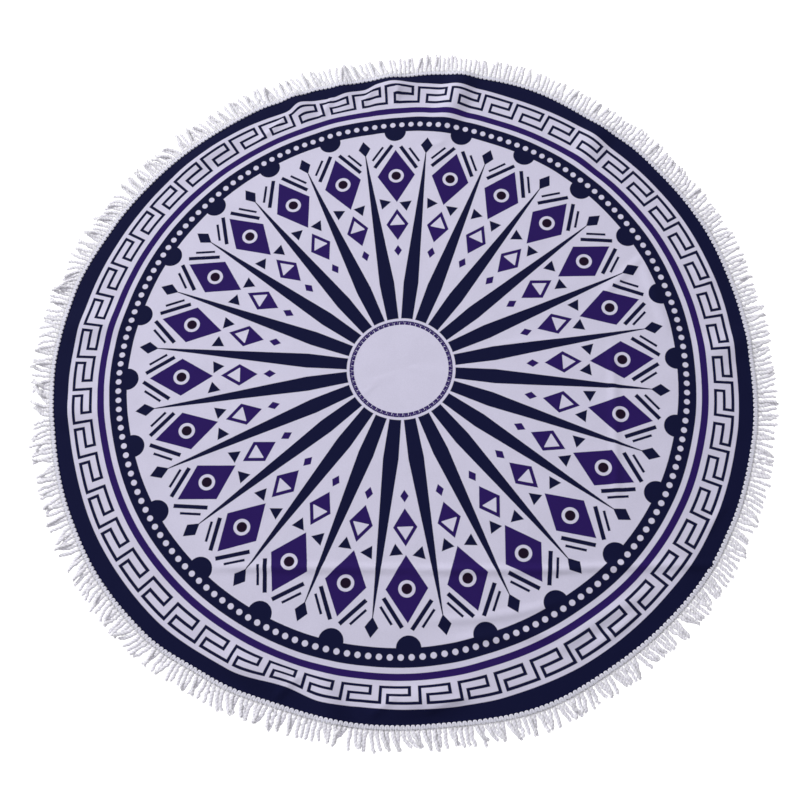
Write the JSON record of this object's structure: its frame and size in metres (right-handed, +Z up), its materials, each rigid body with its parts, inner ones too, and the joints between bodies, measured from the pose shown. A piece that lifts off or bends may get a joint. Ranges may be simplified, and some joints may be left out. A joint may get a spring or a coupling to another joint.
{
  "type": "round beach towel",
  "caption": "Round beach towel laid flat: printed cloth disc with soft edge ridges and a white corded fringe round its rim.",
  "frame": {"origin": "on the floor under the middle of the printed pattern, at the cloth's flat underside", "axes": "+Z up out of the printed face, +X to the right and +Y away from a viewer at the near side"},
  "size_m": [1.492, 1.4786, 0.0138],
  "materials": {
    "cloth": "matt printed microfibre with a short nap, navy and violet on a pale lavender ground",
    "trim": "matt white twisted cord and woven heading"
  },
  "bodies": {
    "root": {"towel": "cloth", "fringe": "trim"}
  },
  "joints": []
}
